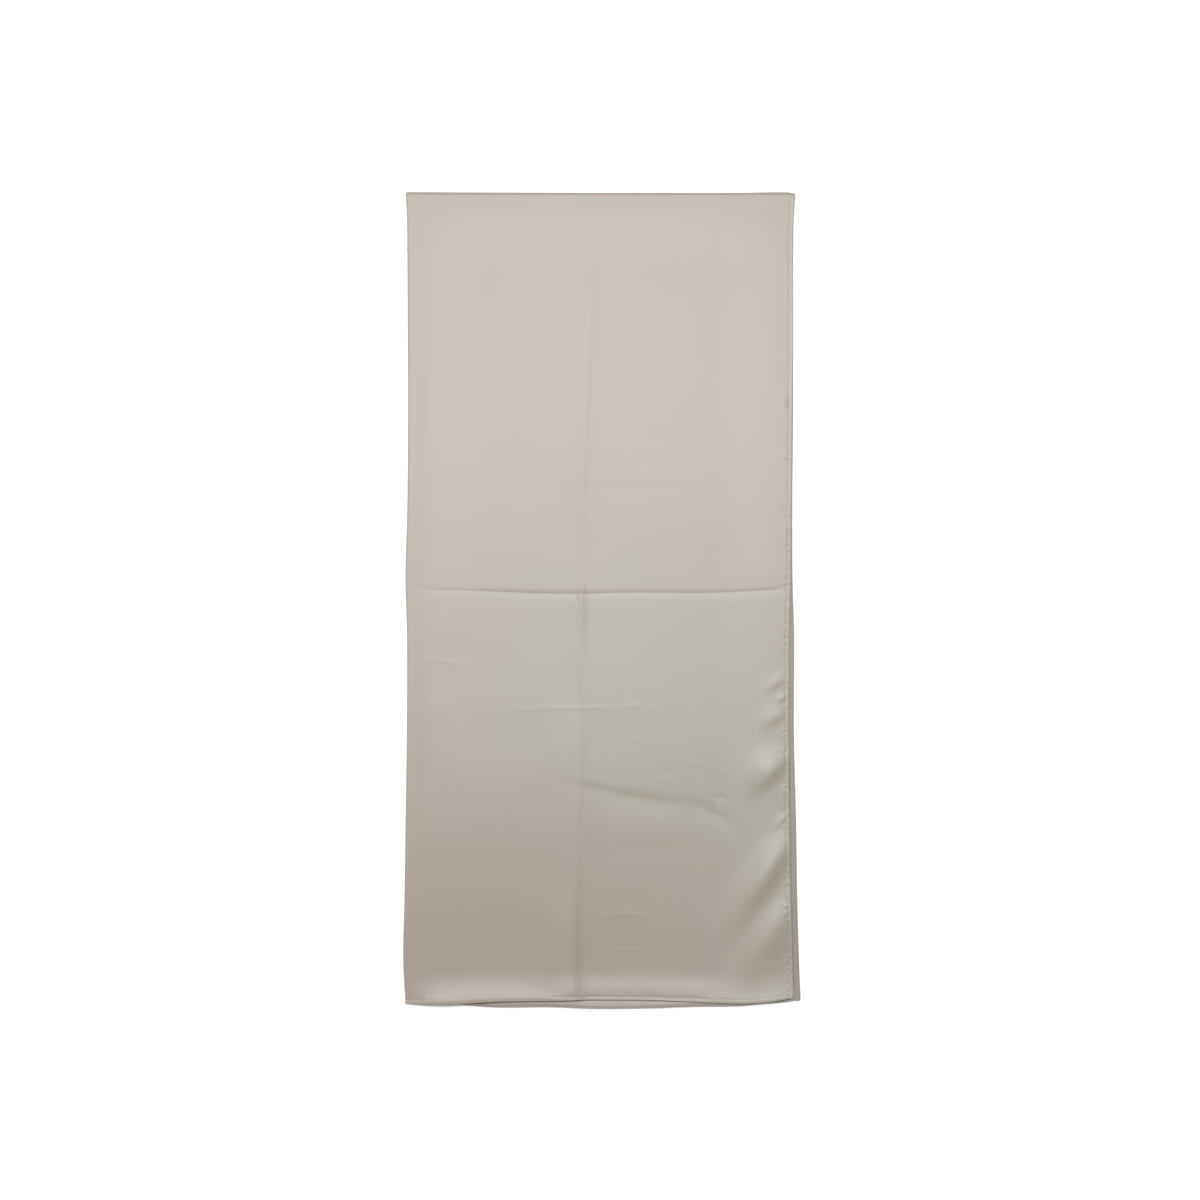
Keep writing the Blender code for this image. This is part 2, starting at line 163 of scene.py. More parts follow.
# Small wrinkles and finger marks, in the same terms
WRINKLES = (
    SoftFold(0.212, 0.661, 12, 0.050, 0.0030, 0.008, -0.00050),
    SoftFold(0.047, 0.522, 10, 0.064, 0.0020, 0.0020, 0.00018),
    SoftFold(0.096, 0.558, 2, 0.110, 0.0022, 0.0022, 0.00012),
    SoftFold(0.180, 0.573, -1, 0.150, 0.0022, 0.0022, 0.00018),
    SoftFold(0.254, 0.570, -30, 0.010, 0.0022, 0.0022, 0.00035),
    SoftFold(0.254, 0.608, 35, 0.012, 0.0020, 0.0020, 0.00025),
    SoftFold(0.348, 0.6703, 8, 0.010, 0.0016, 0.0090, -0.00045),
    SoftFold(0.288, 0.6450, 10, 0.012, 0.0030, 0.0040, -0.00025),
    SoftFold(0.325, 0.635, 14, 0.050, 0.0022, 0.0022, 0.00016),
    SoftFold(0.4152, 0.2350, 42, 0.014, 0.0060, 0.0020, 0.00078),
    SoftFold(0.4180, 0.2940, 30, 0.010, 0.0050, 0.0018, 0.00046),
    SoftFold(0.244, 0.804, 0, 0.056, 0.0026, 0.0026, 0.00020),
    SoftFold(0.246, 0.844, 0, 0.034, 0.0026, 0.0026, 0.00018),
    SoftFold(0.270, 0.200, 0, 0.022, 0.0022, 0.0022, -0.00030),
    SoftFold(0.291, 0.269, -5, 0.054, 0.0022, 0.0022, -0.00056),
    SoftFold(0.262, 0.3165, -1, 0.160, 0.0034, 0.0034, 0.00036),
    SoftFold(0.290, 0.428, 0, 0.080, 0.0020, 0.0020, 0.00012),
    SoftFold(0.310, 0.434, -1, 0.120, 0.0018, 0.0018, -0.00010),
    SoftFold(0.276, 0.734, 0, 0.130, 0.0090, 0.0090, -0.00025),
    SoftFold(0.196, 0.438, 70, 0.012, 0.0020, 0.0020, 0.00030),
    SoftFold(0.188, 0.450, 60, 0.010, 0.0020, 0.0020, -0.00030),
)
RELIEF_FADE = 0.022  # the relief fades out over this distance at the two folds
HIDDEN_FOLLOWS = 0.5  # the share of the relief that the cloth under layer 1 takes
EDGE_FLAT = 0.006  # the lofted band along an edge
EDGE_SLOPE = 0.030  # the slope from that band to the field
FRONT_SLOPE = 0.085  # the longer slope of layer 1, which bridges the one below it

# How the end of layer 1 curls up at an inset: how high, and whether it levels out before its hem (1 or 0)
CurlStop = namedtuple("CurlStop", "inset rise levelled")
END_CURLS = (
    CurlStop(0.000, 0.0004, 0.0),
    CurlStop(0.035, 0.0061, 0.0),
    CurlStop(0.120, 0.0064, 0.0),
    CurlStop(0.158, 0.0054, 0.0),
    CurlStop(0.195, 0.0032, 1.0),
    CurlStop(0.235, 0.0027, 1.0),
    CurlStop(0.300, 0.0033, 1.0),
    CurlStop(0.360, 0.0047, 0.1),
    CurlStop(0.412, 0.0042, 0.0),
    CurlStop(0.425, 0.0030, 0.0),
)
END_CURL = 0.036  # how far up the cloth that curl starts
BACK_CURL = 0.0026  # how high the end of layer 3 curls up
BACK_CURL_REACH = 0.011

# The section of a hem, from the field to its edge: how far each point lies from the edge, the shape of the
# side that shows above a plain one, and the thickness there
HemStop = namedtuple("HemStop", "inward shape thickness")
HEM_SECTION = (
    HemStop(0.0094, 0.00002, 0.00090),
    HemStop(0.0082, 0.00003, 0.00090),
    HemStop(0.0070, 0.00003, 0.00090),
    HemStop(0.0060, 0.00002, 0.00092),
    HemStop(0.0052, -0.00003, 0.00105),
    HemStop(0.0046, -0.00010, 0.00130),
    HemStop(0.0040, -0.00004, 0.00155),
    HemStop(0.0032, 0.00002, 0.00160),
    HemStop(0.0025, 0.00010, 0.00160),
    HemStop(0.0018, 0.00030, 0.00160),
    HemStop(0.0012, 0.00054, 0.00160),
    HemStop(0.0007, 0.00066, 0.00150),
    HemStop(0.0003, 0.00054, 0.00120),
    HemStop(0.0001, 0.00028, 0.00070),
    HemStop(0.0000, 0.00000, 0.00020),
)
HEM_THICKNESS = 0.0016
HEM_INWARD = np.array([stop.inward for stop in HEM_SECTION])[None, :]
SECOND_LEVEL = HEM_THICKNESS + GAP  # how far layer 2 lies under the face of layer 1 at a hem
INNER_TUCK = 0.0015  # how far the hidden side hem stays behind the one that shows
HEM_LIFT = 0.00010  # a hem of layer 4 lies this much above the surface, on its stitches
UNDER_LIFT = 0.00022  # the cloth of layer 4 lies a little higher than the hems round it
SIDE_HEM_REACH = 0.0106  # how far from the side edge an end hem starts to pass over the side hem

# Stitches: where the seam line lies, and how each loop of thread is shaped along its length
STITCH_LINE = 0.0046
STITCH_SHARE = 0.68  # the part of the pitch that a loop covers
STITCH_SIDES = 6
ThreadStop = namedtuple("ThreadStop", "along swell lift")
THREAD_LOOP = (
    ThreadStop(0.00, 0.35, -0.90),
    ThreadStop(0.15, 0.90, -0.10),
    ThreadStop(0.50, 1.00, 0.25),
    ThreadStop(0.85, 0.90, -0.10),
    ThreadStop(1.00, 0.35, -0.90),
)
STITCH_SINK = 0.00010  # how far the loops sink into the hem
UNDER_STITCH = 0.00008  # how high the loops of layer 4 lie, pressed flat by the surface
UNDER_FLATTENED = 0.4

# The thin cloth of layers 2 and 3, as it shows between the hems
INNER_WALL = 0.0006
INNER_CLEARANCE = 0.00005
INNER_SPREAD = 0.23  # how far apart the two layers lie, as a share of the room between layers 1 and 4
INNER_FOLD = 0.0008

# How finely each stretch of the cloth and of the hems is modelled
Stretch = namedtuple("Stretch", "start end steps")
FRONT_COLUMNS = (
    Stretch(0.0026, 0.010, 6),
    Stretch(0.010, 0.186, 30),
    Stretch(0.186, 0.196, 10),
    Stretch(0.196, 0.206, 10),
    Stretch(0.206, 0.345, 26),
    Stretch(0.345, 0.4166, 36),
)
FRONT_ROWS = (
    Stretch(0.0050, 0.436, 78),
    Stretch(0.436, 0.443, 12),
    Stretch(0.443, 0.450, 11),
    Stretch(0.450, 0.560, 46),
    Stretch(0.560, 0.8915, 168),
)
BACK_COLUMNS = (
    Stretch(0.0026, 0.186, 22),
    Stretch(0.186, 0.206, 12),
    Stretch(0.206, 0.4166, 26),
)
BACK_ROWS = (
    Stretch(0.012, 0.436, 50),
    Stretch(0.436, 0.450, 12),
    Stretch(0.450, 0.8915, 60),
)
INNER_COLUMNS = (
    Stretch(0.010, 0.380, 18),
    Stretch(0.380, 0.4190, 10),
)
INNER_ROWS = (
    Stretch(0.0050, 0.460, 20),
    Stretch(0.460, 0.8955, 60),
)
UNDER_FOLD = np.array([0.0035, 0.0097])  # insets of the strip of cloth turned under a left fold
OVER_FOLD = np.array([0.006, 0.0095])  # the same beyond the top fold, down layer 4
BACK_START = 0.0099  # where layer 4 goes on from that strip
HEM_STARTS = 0.0050
HEM_LAST_RING = 0.8998
SIDE_RING_STEP = 0.0011
PLAIN_RING_STEP = 0.0044
END_RING_STEP = 0.0012
UNDER_RING_STEP = 0.0030

# Soft patches of tone on the satin: X and Y of the middle, how far each reaches, and how strong it is. The
# end patch is painted shade.
TonePatch = namedtuple("TonePatch", "middle reach strength")
COOL_MIDDLE = TonePatch((0.040, -0.150), (0.30, 0.30), 1.0)
COOL_CORNER = TonePatch((0.175, -0.350), (0.09, 0.22), 1.3)
# Painted shade: the satin is made darker and warmer towards its lower end, most at the left
END_PAINTED_SHADE = TonePatch((-0.150, -0.390), (0.42, 0.20), 1.25)
YARN_WIDTH = 0.00035

# The studio
FLOOR_GAP = 0.0006
CLOTH_HEIGHT = 0.006
CAMERA_ASIDE = -0.0017  # the photograph's middle lies this far left of the shawl's

MAKER = []  # the operators, in the order in which a maker works


def maker_step(step):
    """Adds an operator to the list that the panel and main go through."""
    MAKER.append(step)
    return step


class ShawlCloth(bpy.types.PropertyGroup):
    """Sizes of the cloth, its hems and its stitches."""

    wall: FloatProperty(
        name="Cloth Wall", description="Thickness of each layer of cloth",
        default=0.0009, min=0.0002, max=0.002, unit="LENGTH",
    )
    pucker: FloatProperty(
        name="Pucker", description="Height of the puckers that the stitches draw up beside a hem",
        default=0.00050, min=0.0, max=0.001, unit="LENGTH",
    )
    stitch_pitch: FloatProperty(
        name="Stitch Pitch", description="Distance from one stitch to the next",
        default=0.0026, min=0.001, max=0.006, unit="LENGTH",
    )
    thread_width: FloatProperty(
        name="Thread Width", description="Width of the sewing thread",
        default=0.00038, min=0.0001, max=0.001, unit="LENGTH",
    )
    cloud: FloatProperty(
        name="Cloth Unevenness", description="Height of the slow, shallow unevenness of the lying cloth",
        default=0.00016, min=0.0, max=0.002, unit="LENGTH",
    )


class ShawlFinish(bpy.types.PropertyGroup):
    """Colours and gloss of the satin and its thread."""

    satin: FloatVectorProperty(
        name="Satin", description="Colour of the satin",
        default=(0.262, 0.239, 0.199), min=0, max=1, subtype="COLOR",
    )
    satin_shade: FloatVectorProperty(
        name="Satin Shade", description="Colour of the satin where it looks a little warmer",
        default=(0.272, 0.233, 0.195), min=0, max=1, subtype="COLOR",
    )
    # Painted shade: a darker, warmer colour that the lower end of the satin is mixed towards
    satin_warm_painted_shade: FloatVectorProperty(
        name="Satin Warm", description="Colour of the satin towards its end, where it looks warmest",
        default=(0.250, 0.211, 0.176), min=0, max=1, subtype="COLOR",
    )
    thread: FloatVectorProperty(
        name="Thread", description="Colour of the sewing thread",
        default=(0.31, 0.275, 0.235), min=0, max=1, subtype="COLOR",
    )
    roughness: FloatProperty(
        name="Roughness", description="How widely the satin spreads its gloss",
        default=0.46, min=0, max=1, subtype="FACTOR",
    )
    float_length: FloatProperty(
        name="Float Length", description="Length of the yarn floats on the satin's face",
        default=0.0016, min=0.0002, max=0.01, unit="LENGTH",
    )


class ShawlStudio(bpy.types.PropertyGroup):
    """The floor, the lights and the camera."""

    floor: FloatVectorProperty(
        name="Floor", description="Colour of the floor",
        default=(0.92, 0.92, 0.92), min=0, max=1, subtype="COLOR",
    )
    key_power: FloatProperty(
        name="Key Power", description="Power of the soft light beyond the top fold",
        default=75.5, min=0, unit="POWER",
    )
    side_power: FloatProperty(
        name="Side Power", description="Power of the soft light at the left",
        default=21.0, min=0, unit="POWER",
    )
    fill: FloatProperty(
        name="Fill", description="Strength of the even light from all round",
        default=0.37, min=0, max=10,
    )
    frame_width: FloatProperty(
        name="Frame Width", description="Width of the cloth's surface that the picture takes in",
        default=1.3317, min=0.1, max=10, unit="LENGTH",
    )
    camera_height: FloatProperty(
        name="Camera Height", description="Height of the camera over the cloth",
        default=2.4, min=0.5, max=10, unit="LENGTH",
    )


def ease(t):
    """0 below 0, 1 above 1, and between them a step that starts and ends without a bend."""
    t = np.clip(t, 0.0, 1.0)
    return t * t * t * (t * (6 * t - 15) + 10)


def mix(low, high, share):
    """The low value, the high value, or one between them."""
    return low + share * (high - low)


def smooth_through(stops, at):
    """The values at some places on the smooth curve through (place, value) stops."""
    places, values = (np.array(column, float) for column in zip(*stops))
    before = np.maximum(np.arange(len(places)) - 1, 0)
    after = np.minimum(np.arange(len(places)) + 1, len(places) - 1)
    slopes = (values[after] - values[before]) / (places[after] - places[before])
    at = np.clip(at, places[0], places[-1])
    index = np.clip(np.searchsorted(places, at, side="right") - 1, 0, len(places) - 2)
    span = places[index + 1] - places[index]
    t = (at - places[index]) / span
    bend = (t**3 - 2 * t**2 + t) * slopes[index] + (t**3 - t**2) * slopes[index + 1]
    return values[index] + (3 * t**2 - 2 * t**3) * (values[index + 1] - values[index]) + bend * span


def column_of(stops, name):
    """(place, value) pairs for one named column of an outline table."""
    return [(stop[0], getattr(stop, name)) for stop in stops]


LEFT_FOLD = column_of(SIDE_STOPS, "left_fold")
TOP_FOLD = column_of(END_STOPS, "top_fold")
SIDE_HEMS = [column_of(SIDE_STOPS, layer) for layer in ("front_hem", "back_hem")]
END_HEMS = [column_of(END_STOPS, layer) for layer in ("front_hem", "back_hem")]
LONG_LINE = column_of(LONG_CREASE, "place")
CROSS_LINE = column_of(CROSS_CREASE, "place")


def spread(stretches):
    """The places along the cloth that a table of stretches gives."""
    places = [np.linspace(part.start, part.end, part.steps, endpoint=False) for part in stretches]
    return np.concatenate([*places, [stretches[-1].end]])


def soft_noise(across, along, cell, seed):
    """Smooth unevenness between -1 and 1, with a bump about every cell."""
    draw = np.random.default_rng(seed)
    grid = draw.uniform(-1, 1, (64, 64))
    x = across / cell + 7.3
    y = along / cell + 3.1
    column = np.floor(x).astype(int)
    row = np.floor(y).astype(int)
    u = ease(x - column)
    v = ease(y - row)

    def corner(right, up):
        return grid[(column + right) % 64, (row + up) % 64]

    return mix(mix(corner(0, 0), corner(1, 0), u), mix(corner(0, 1), corner(1, 1), u), v)


def leaned(inset, down):
    """Columns and rows, moved so that those near a crease run along it."""
    near = np.maximum(0.0, 1 - np.abs(down - CROSS_CREASE_MIDDLE) / CREASE_SWAY)
    down = down + near * (smooth_through(CROSS_LINE, inset) - CROSS_CREASE_MIDDLE)
    near = np.maximum(0.0, 1 - np.abs(inset - LONG_CREASE_MIDDLE) / CREASE_SWAY)
    inset = inset + near * (smooth_through(LONG_LINE, down) - LONG_CREASE_MIDDLE)
    return inset, down


def plan(inset, down, share):
    """X and Y of places on the front pair of layers (share 0) or the back pair (share 1)."""
    inset, down = leaned(inset, down)
    corner = mix(FRONT_CORNER, BACK_CORNER, share)
    beyond_side = np.maximum(inset - (LAYER_WIDTH - corner), 0)
    beyond_end = np.maximum(down - (LAYER_LENGTH - corner), 0)
    away = np.hypot(beyond_side, beyond_end)
    pull = 1 - np.maximum(beyond_side, beyond_end) / np.maximum(away, 1e-9)
    inset = inset - beyond_side * pull
    down = down - beyond_end * pull
    left = smooth_through(LEFT_FOLD, down)
    right = mix(*(smooth_through(hem, down) for hem in SIDE_HEMS), share)
    x = mix(left, right, inset / LAYER_WIDTH)
    end = mix(*(smooth_through(hem, x) for hem in END_HEMS), share)
    nearness = down / LAYER_LENGTH
    y = TOP_FOLD_Y - down
    y -= smooth_through(TOP_FOLD, x) * (1 - nearness) ** END_REACH + end * nearness**END_REACH
    return x, y


def ridge(folds, inset, down):
    """Height of a table of soft folds."""
    height = np.zeros_like(inset)
    for fold in folds:
        heading = math.radians(fold.heading)
        aside = inset - fold.inset
        below = down - fold.down
        along = aside * math.cos(heading) + below * math.sin(heading)
        off = below * math.cos(heading) - aside * math.sin(heading)
        reach = np.where(off < 0, fold.upper, fold.lower)
        height += fold.rise * np.exp(-((2 * along / fold.length) ** 2) - (off / reach) ** 2)
    return height


def crease(stops, across, along):
    """Height of a pressed crease, sharp at its line and dying away on both sides."""
    columns = [column_of(stops, name) for name in stops[0]._fields[1:]]
    place, rise, before, after = (smooth_through(column, along) for column in columns)
    distance = across - place
    return rise * np.exp(-np.abs(distance) / np.where(distance < 0, before, after))


def relief(cloth, inset, down):
    """Height of layer 1 above the plain stack: soft folds, creases, wrinkles and unevenness."""
    height = ridge(SOFT_FOLDS, inset, down) + ridge(WRINKLES, inset, down)
    height += crease(LONG_CREASE, inset, down) + crease(CROSS_CREASE, down, inset)
    height += cloth.cloud * soft_noise(inset, down, 0.060, 11)
    height += 0.25 * cloth.cloud * soft_noise(inset, down, 0.022, 12)
    from_hem = np.minimum(LAYER_WIDTH - inset, LAYER_LENGTH - down) - 0.003
    height = np.where(height < 0, height * ease(from_hem / RELIEF_FADE), height)
    return height * ease((inset - EDGE_FLAT) / RELIEF_FADE) * ease((down - EDGE_FLAT) / RELIEF_FADE)


def gathers(cloth, inset, down):
    """Small waves that run from the side hem and the end hem into the cloth."""
    from_side = np.abs(LAYER_WIDTH - STITCH_LINE - inset)
    from_end = np.abs(LAYER_LENGTH - STITCH_LINE - down)
    side = np.exp(-from_side / 0.006) * soft_noise(inset * 0.8, down - 0.6 * inset, 0.0046, 21)
    side *= mix(0.15, 1.0, ease((down - 0.28) / 0.14)) * (0.6 + 0.4 * soft_noise(inset, down, 0.045, 22))
    end = np.exp(-from_end / 0.004) * soft_noise(inset, down * 0.6, 0.0060, 23) * 0.35
    return 0.85 * cloth.pucker * (side + end)


def edge_field(inset, down, slope):
    """0 along the left fold, the side hem and the top fold, and 1 in the field, with a slope between."""
    field = 1.0
    for distance in (inset, down, LAYER_WIDTH - inset):
        field = field * ease((distance - EDGE_FLAT) / slope)
    return field


def plain_top(inset, down):
    """Z of the top of the plain stack."""
    field = edge_field(inset, down, EDGE_SLOPE) * ease((LAYER_LENGTH - down - EDGE_FLAT) / EDGE_SLOPE)
    return mix(STACK_TOP, FIELD_TOP, field)


def front_top(inset, down):
    """Z of the face of layer 1 without its relief. It bridges the stack's slopes, and its end curls up."""
    field = mix(STACK_TOP, FIELD_TOP, edge_field(inset, down, FRONT_SLOPE))
    rise, levelled = (smooth_through(column_of(END_CURLS, name), inset) for name in ("rise", "levelled"))
    near = np.clip(1 - (LAYER_LENGTH - down) / END_CURL, 0, 1)
    return field + rise * mix(near**2, ease(near), levelled)


def back_curl(inset, down):
    """How far the end of layer 3 curls up where the front pair does not cover it."""
    near = np.clip(1 - (LAYER_LENGTH - down) / BACK_CURL_REACH, 0, 1)
    return BACK_CURL * near**1.6 * ease((inset - 0.020) / 0.080) * ease((LAYER_WIDTH - inset) / 0.030)


def outside(cloth, inset, depth, down, turn, level=0.0):
    """Points inside the outside of the stack by their depth, in cloth that lies at a level of the stack.

    A turn of 0 is layer 1, pi is layer 4 and those between go round the top fold.
    """
    share = turn / math.pi
    x, y = plan(inset, down, share)
    radius = TOP_RADIUS - depth
    radius = np.where(down <= TOP_RADIUS, np.maximum(radius, TIGHTEST_BEND), radius)
    hidden = np.minimum(1.0, level / SECOND_LEVEL)
    leaning = leaned(inset, down)
    rise = mix(front_top(inset, down), plain_top(inset, down), hidden) - STACK_TOP
    rise = rise + (relief(cloth, *leaning) + gathers(cloth, *leaning)) * mix(1.0, HIDDEN_FOLLOWS, hidden)
    z = TOP_RADIUS + radius * np.cos(turn) + (1 - share) * rise
    return np.stack(np.broadcast_arrays(x, y + radius * np.sin(turn), z), axis=-1)


def round_left_fold(under_insets, outer_insets, steps=10):
    """Sections from under a pair of layers, round its left fold and out across its outside."""
    turns = np.linspace(math.pi, 0, steps + 1)
    fold_insets = SIDE_RADIUS * (1 - np.sin(turns))
    fold_depths = SIDE_RADIUS * (1 - np.cos(turns))
    insets = np.concatenate([under_insets[::-1], fold_insets, outer_insets])
    under_depths = np.full(len(under_insets), 2 * SIDE_RADIUS)
    depths = np.concatenate([under_depths, fold_depths, np.zeros(len(outer_insets))])
    return insets, depths


def over_top_fold(front_downs, back_downs, steps=12):
    """Rows from the lower end of layer 1, up over the top fold and down layer 4."""
    turns = np.linspace(0, math.pi, steps + 1)
    downs = np.concatenate([front_downs[::-1], np.full(steps + 1, TOP_RADIUS), back_downs])
    angles = np.concatenate([np.zeros(len(front_downs)), turns, np.full(len(back_downs), math.pi)])
    return downs, angles


def grid_piece(name, points):
    """A sheet through a grid of points, given as rows of columns."""
    rows, columns = points.shape[:2]
    mesh = bpy.data.meshes.new(name)
    grid = bmesh.new()
    bmesh.ops.create_grid(grid, x_segments=columns - 1, y_segments=rows - 1, size=0.5)
    grid.to_mesh(mesh)
    grid.free()
    flat = np.empty(3 * rows * columns)
    mesh.vertices.foreach_get("co", flat)
    flat = flat.reshape(-1, 3)
    column = np.rint((flat[:, 0] + 0.5) * (columns - 1)).astype(int)
    row = np.rint((flat[:, 1] + 0.5) * (rows - 1)).astype(int)
    mesh.vertices.foreach_set("co", points[row, column].ravel())
    mesh.update()
    piece = bpy.data.objects.new(name, mesh)
    bpy.context.collection.objects.link(piece)
    return piece


def smooth(mesh):
    """Shades a mesh smooth, apart from its rims."""
    mesh.shade_smooth()
    mesh.set_sharp_from_angle(angle=math.radians(50))


def apply_modifiers(piece):
    """Bakes a piece's modifiers into its mesh."""
    depsgraph = bpy.context.evaluated_depsgraph_get()
    mesh = bpy.data.meshes.new_from_object(piece.evaluated_get(depsgraph))
    old = piece.data
    piece.modifiers.clear()
    piece.data = mesh
    bpy.data.meshes.remove(old)
    mesh.name = piece.name
    smooth(mesh)


def cloth_sheet(name, cloth, sections, rows):
    """A wall of satin whose outer face follows the outside of the stack."""
    insets, depths = sections
    downs, turns = rows
    raised = depths[None, :] + UNDER_LIFT * 0.5 * (1 - np.cos(turns[:, None]))
    points = outside(cloth, insets[None, :], raised, downs[:, None], turns[:, None])
    piece = grid_piece(name, points)
    wall = piece.modifiers.new("wall", "SOLIDIFY")
    wall.thickness = cloth.wall
    wall.offset = -1
    apply_modifiers(piece)
    piece.data.materials.append(satin())
    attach(piece, "root")
    return piece


def toned(material, place, patch, base=None):
    """A factor that a patch adds to another: strongest at its middle, and nothing beyond its reach."""
    nodes = material.node_tree.nodes
    links = material.node_tree.links
    (x, y), (across, along), strength = patch
    spot = nodes.new("ShaderNodeMapping")
    spot.inputs["Location"].default_value = (-x / across, -y / along, 0)
    spot.inputs["Scale"].default_value = (1 / across, 1 / along, 1)
    links.new(place.outputs["Object"], spot.inputs["Vector"])
    fade = nodes.new("ShaderNodeTexGradient")
    fade.gradient_type = "SPHERICAL"
    links.new(spot.outputs["Vector"], fade.inputs["Vector"])
    total = nodes.new("ShaderNodeMath")
    total.operation = "MULTIPLY_ADD"
    total.inputs[1].default_value = strength
    total.inputs[2].default_value = 0.0
    links.new(fade.outputs["Fac"], total.inputs[0])
    if base is not None:
        links.new(base, total.inputs[2])
    return total.outputs["Value"]


def tint(material, factor):
    """A mix of two colours by a factor."""
    blend = material.node_tree.nodes.new("ShaderNodeMix")
    blend.data_type = "RGBA"
    material.node_tree.links.new(factor, blend.inputs["Factor"])
    return blend


def satin():
    """The satin: smooth, with a wide gloss, fine floats along the cloth, slow changes of tone and painted
    shade towards its lower end.
    """
    if "greige_satin" in bpy.data.materials:
        return bpy.data.materials["greige_satin"]
    finish = bpy.context.scene.shawl_finish
    material = bpy.data.materials.new("greige_satin")
    material.use_nodes = True
    nodes = material.node_tree.nodes
    links = material.node_tree.links
    surface = nodes["Principled BSDF"]
    surface.inputs["Roughness"].default_value = finish.roughness
    surface.inputs["Specular IOR Level"].default_value = 0.5
    surface.inputs["Specular Tint"].default_value = (0.90, 0.96, 1.0, 1)
    surface.inputs["Sheen Weight"].default_value = 0.08
    surface.inputs["Sheen Roughness"].default_value = 0.5

    place = nodes.new("ShaderNodeTexCoord")
    stretched = nodes.new("ShaderNodeMapping")
    stretched.inputs["Scale"].default_value = (1 / YARN_WIDTH, 1 / finish.float_length, 1 / YARN_WIDTH)
    links.new(place.outputs["Object"], stretched.inputs["Vector"])
    floats = nodes.new("ShaderNodeTexNoise")
    floats.inputs["Scale"].default_value = 1.0
    floats.inputs["Detail"].default_value = 1.5
    links.new(stretched.outputs["Vector"], floats.inputs["Vector"])

    tone = nodes.new("ShaderNodeTexNoise")
    tone.inputs["Scale"].default_value = 5.0
    tone.inputs["Detail"].default_value = 2.0
    links.new(place.outputs["Object"], tone.inputs["Vector"])

    slow = nodes.new("ShaderNodeMath")
    slow.operation = "MULTIPLY_ADD"
    slow.inputs[1].default_value = 1.1
    slow.inputs[2].default_value = -0.30
    links.new(tone.outputs["Fac"], slow.inputs[0])
    cool = toned(material, place, COOL_CORNER, slow.outputs["Value"])
    cool = toned(material, place, COOL_MIDDLE, cool)

    blend = tint(material, cool)
    blend.inputs["A"].default_value = (*finish.satin_shade, 1)
    blend.inputs["B"].default_value = (*finish.satin, 1)
    # Painted shade: towards the lower end the colour is mixed to a darker, warmer one
    both = tint(material, toned(material, place, END_PAINTED_SHADE))
    both.inputs["B"].default_value = (*finish.satin_warm_painted_shade, 1)
    links.new(blend.outputs["Result"], both.inputs["A"])
    links.new(both.outputs["Result"], surface.inputs["Base Color"])

    bump = nodes.new("ShaderNodeBump")
    bump.inputs["Strength"].default_value = 0.12
    bump.inputs["Distance"].default_value = 0.00006
    links.new(floats.outputs["Fac"], bump.inputs["Height"])
    links.new(bump.outputs["Normal"], surface.inputs["Normal"])
    return material


def thread():
    """Twisted sewing thread with a soft shine."""
    if "sewing_thread" in bpy.data.materials:
        return bpy.data.materials["sewing_thread"]
    finish = bpy.context.scene.shawl_finish
    material = bpy.data.materials.new("sewing_thread")
    material.use_nodes = True
    nodes = material.node_tree.nodes
    links = material.node_tree.links
    surface = nodes["Principled BSDF"]
    surface.inputs["Roughness"].default_value = 0.5
    surface.inputs["Sheen Weight"].default_value = 0.2
    place = nodes.new("ShaderNodeTexCoord")
    twist = nodes.new("ShaderNodeTexWave")
    twist.bands_direction = "DIAGONAL"
    twist.inputs["Scale"].default_value = 900.0
    twist.inputs["Distortion"].default_value = 1.0
    links.new(place.outputs["Object"], twist.inputs["Vector"])
    blend = tint(material, twist.outputs["Fac"])
    blend.inputs["A"].default_value = (*(0.8 * part for part in finish.thread), 1)
    blend.inputs["B"].default_value = (*finish.thread, 1)
    links.new(blend.outputs["Result"], surface.inputs["Base Color"])
    bump = nodes.new("ShaderNodeBump")
    bump.inputs["Strength"].default_value = 0.3
    bump.inputs["Distance"].default_value = 0.00005
    links.new(twist.outputs["Fac"], bump.inputs["Height"])
    links.new(bump.outputs["Normal"], surface.inputs["Normal"])
    return material


def hem_section(share, waves):
    """Rings of points round a hem: how far each lies from the edge and above the plain face.

    A share of 0 has the side that shows outside, 1 has it underneath, and waves are added to that side.
    """
    inward, shape, thickness = (np.array(column) for column in zip(*HEM_SECTION))
    rounding = np.where(inward < 0.002, 0.5 * (HEM_THICKNESS - thickness), 0)[None, :]
    shown = shape[None, :] + waves
    face = (1 - share) * shown - rounding
    under = -thickness[None, :] - rounding - share * shown
    rise = np.concatenate([face, under[:, ::-1]], axis=1)
    return np.concatenate([inward, inward[::-1]])[None, :], rise


def puckered(cloth, inward, along, seed):
    """Height of the tiny waves beside the stitches of a hem."""
    near = np.exp(-(((inward - STITCH_LINE - 0.0003) / 0.0017) ** 2))
    wave = soft_noise(inward * 0.7, along, 0.0021, seed) + 0.3 * soft_noise(inward, along, 0.0013, seed + 1)
    patches = 0.65 + 0.35 * soft_noise(along * 0, along, 0.030, seed + 2)
    return cloth.pucker * near * wave * patches


def side_waves(cloth, inward, down, turn):
    """The waves of a side hem, which are weaker near the top fold."""
    strength = mix(0.30, 1.0, ease((down - 0.30) / 0.16))
    return strength * puckered(cloth, inward, np.where(turn > 0, -down, down), 31)


def end_waves(cloth, inward, inset, under):
    """The waves of an end hem."""
    return 0.5 * puckered(cloth, inward, np.where(under, -inset, inset), 41)


def add_tube(work, points):
    """Adds a closed tube through rings of points to a mesh in the making."""
    corners = [[work.verts.new(point) for point in ring] for ring in points]
    for near, far in zip(corners, corners[1:]):
        for side, corner in enumerate(near):
            after = (side + 1) % len(near)
            work.faces.new((corner, near[after], far[after], far[side]))
    work.faces.new(corners[0][::-1])
    work.faces.new(corners[-1])


